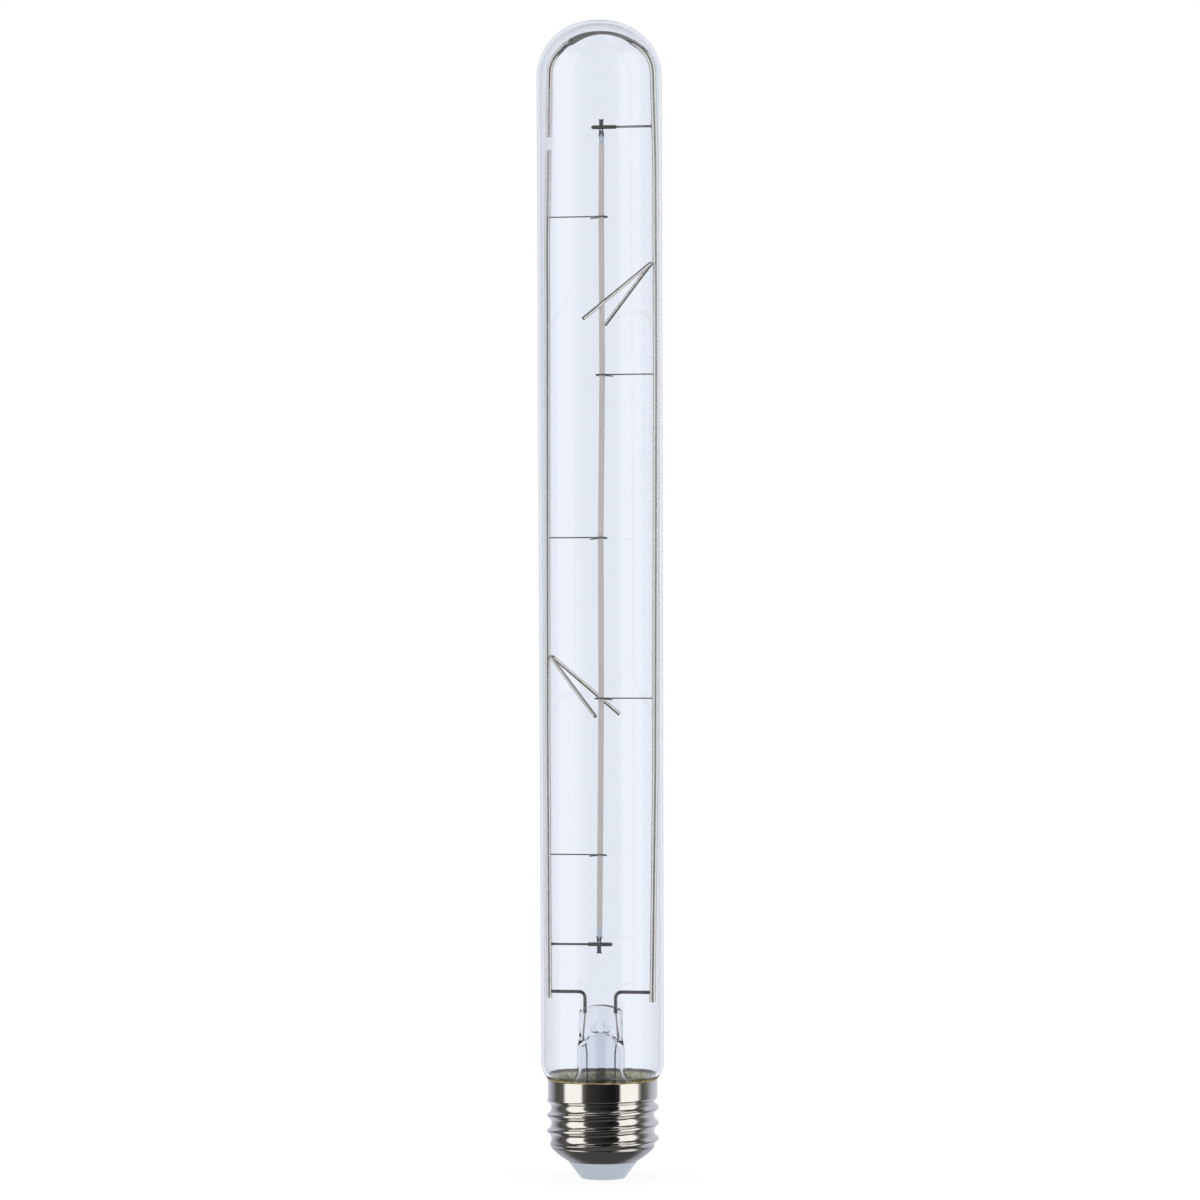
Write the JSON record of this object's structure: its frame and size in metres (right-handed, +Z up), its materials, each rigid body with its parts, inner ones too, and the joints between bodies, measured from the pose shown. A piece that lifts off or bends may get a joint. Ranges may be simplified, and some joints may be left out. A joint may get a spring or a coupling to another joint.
{
  "type": "tubular light bulb",
  "caption": "Long clear tubular bulb with a domed end, a straight filament hooked between two support wires, a glass stem and a screw cap.",
  "frame": {"origin": "on the bulb's axis at the lowest face of the centre contact", "axes": "+Z up the tube from the cap to the dome; +X across the bulb to the right as pictured, with the wires' plane turned 11 degrees about Z; the viewer stands at -Y"},
  "size_m": [0.0294, 0.0292, 0.2709],
  "materials": {
    "clear_glass": "clear, polished, with a very pale lavender cast",
    "stem_glass": "clear pressed glass, fire polished",
    "sleeve_glass": "thin clear glass tube",
    "plated_shell": "nickel-plated sheet, bright with a satin taper",
    "contact_metal": "tinned, satin",
    "insulator": "pale moulded insulator, satin gloss",
    "cement": "olive-grey capping cement, matt and grainy",
    "support_wire": "drawn nickel wire, satin",
    "spring_wire": "drawn nickel wire, satin",
    "hook_wire": "fine drawn wire, grey",
    "crossbar_wire": "drawn nickel wire, satin",
    "terminal_metal": "stamped plated tab, satin",
    "collar_metal": "small drawn tube, plated, warm at its end",
    "post_wire": "drawn nickel wire, satin",
    "copper_wire": "copper-clad wire, reddish",
    "strip_ceramic": "pale fired strip, matt",
    "filament_coating": "warm grey-beige silicone coat, satin",
    "board": "glass-fibre board with a matt resist",
    "component_body": "moulded black epoxy",
    "capacitor_can": "drawn can, satin",
    "resistor_body": "lacquered body, satin"
  },
  "bodies": {
    "root": {"glass_envelope": "clear_glass", "screw_shell": "plated_shell", "base_insulator": "insulator", "centre_contact": "contact_metal", "cement_ring": "cement", "stem": "stem_glass", "exhaust_tube": "stem_glass", "right_support": "support_wire", "left_support": "support_wire", "insulating_sleeve": "sleeve_glass", "filament_strip": "strip_ceramic", "filament_coating": "filament_coating", "top_terminal": "terminal_metal", "bottom_terminal": "terminal_metal", "top_crossbar": "crossbar_wire", "bottom_crossbar": "crossbar_wire", "top_collar": "collar_metal", "bottom_collar": "collar_metal", "upper_spring": "spring_wire", "lower_spring": "spring_wire", "anchor_wire_1": "hook_wire", "anchor_wire_2": "hook_wire", "anchor_wire_3": "hook_wire", "anchor_wire_4": "hook_wire", "anchor_wire_5": "hook_wire", "left_lead_post": "post_wire", "right_lead_post": "post_wire", "left_seal_wire": "copper_wire", "right_seal_wire": "copper_wire", "left_tail_wire": "copper_wire", "right_tail_wire": "copper_wire", "driver_board": "board", "bridge_rectifier": "component_body", "driver_chip": "component_body", "storage_capacitor": "capacitor_can", "fusible_resistor": "resistor_body", "shell_wire": "copper_wire"}
  },
  "joints": []
}
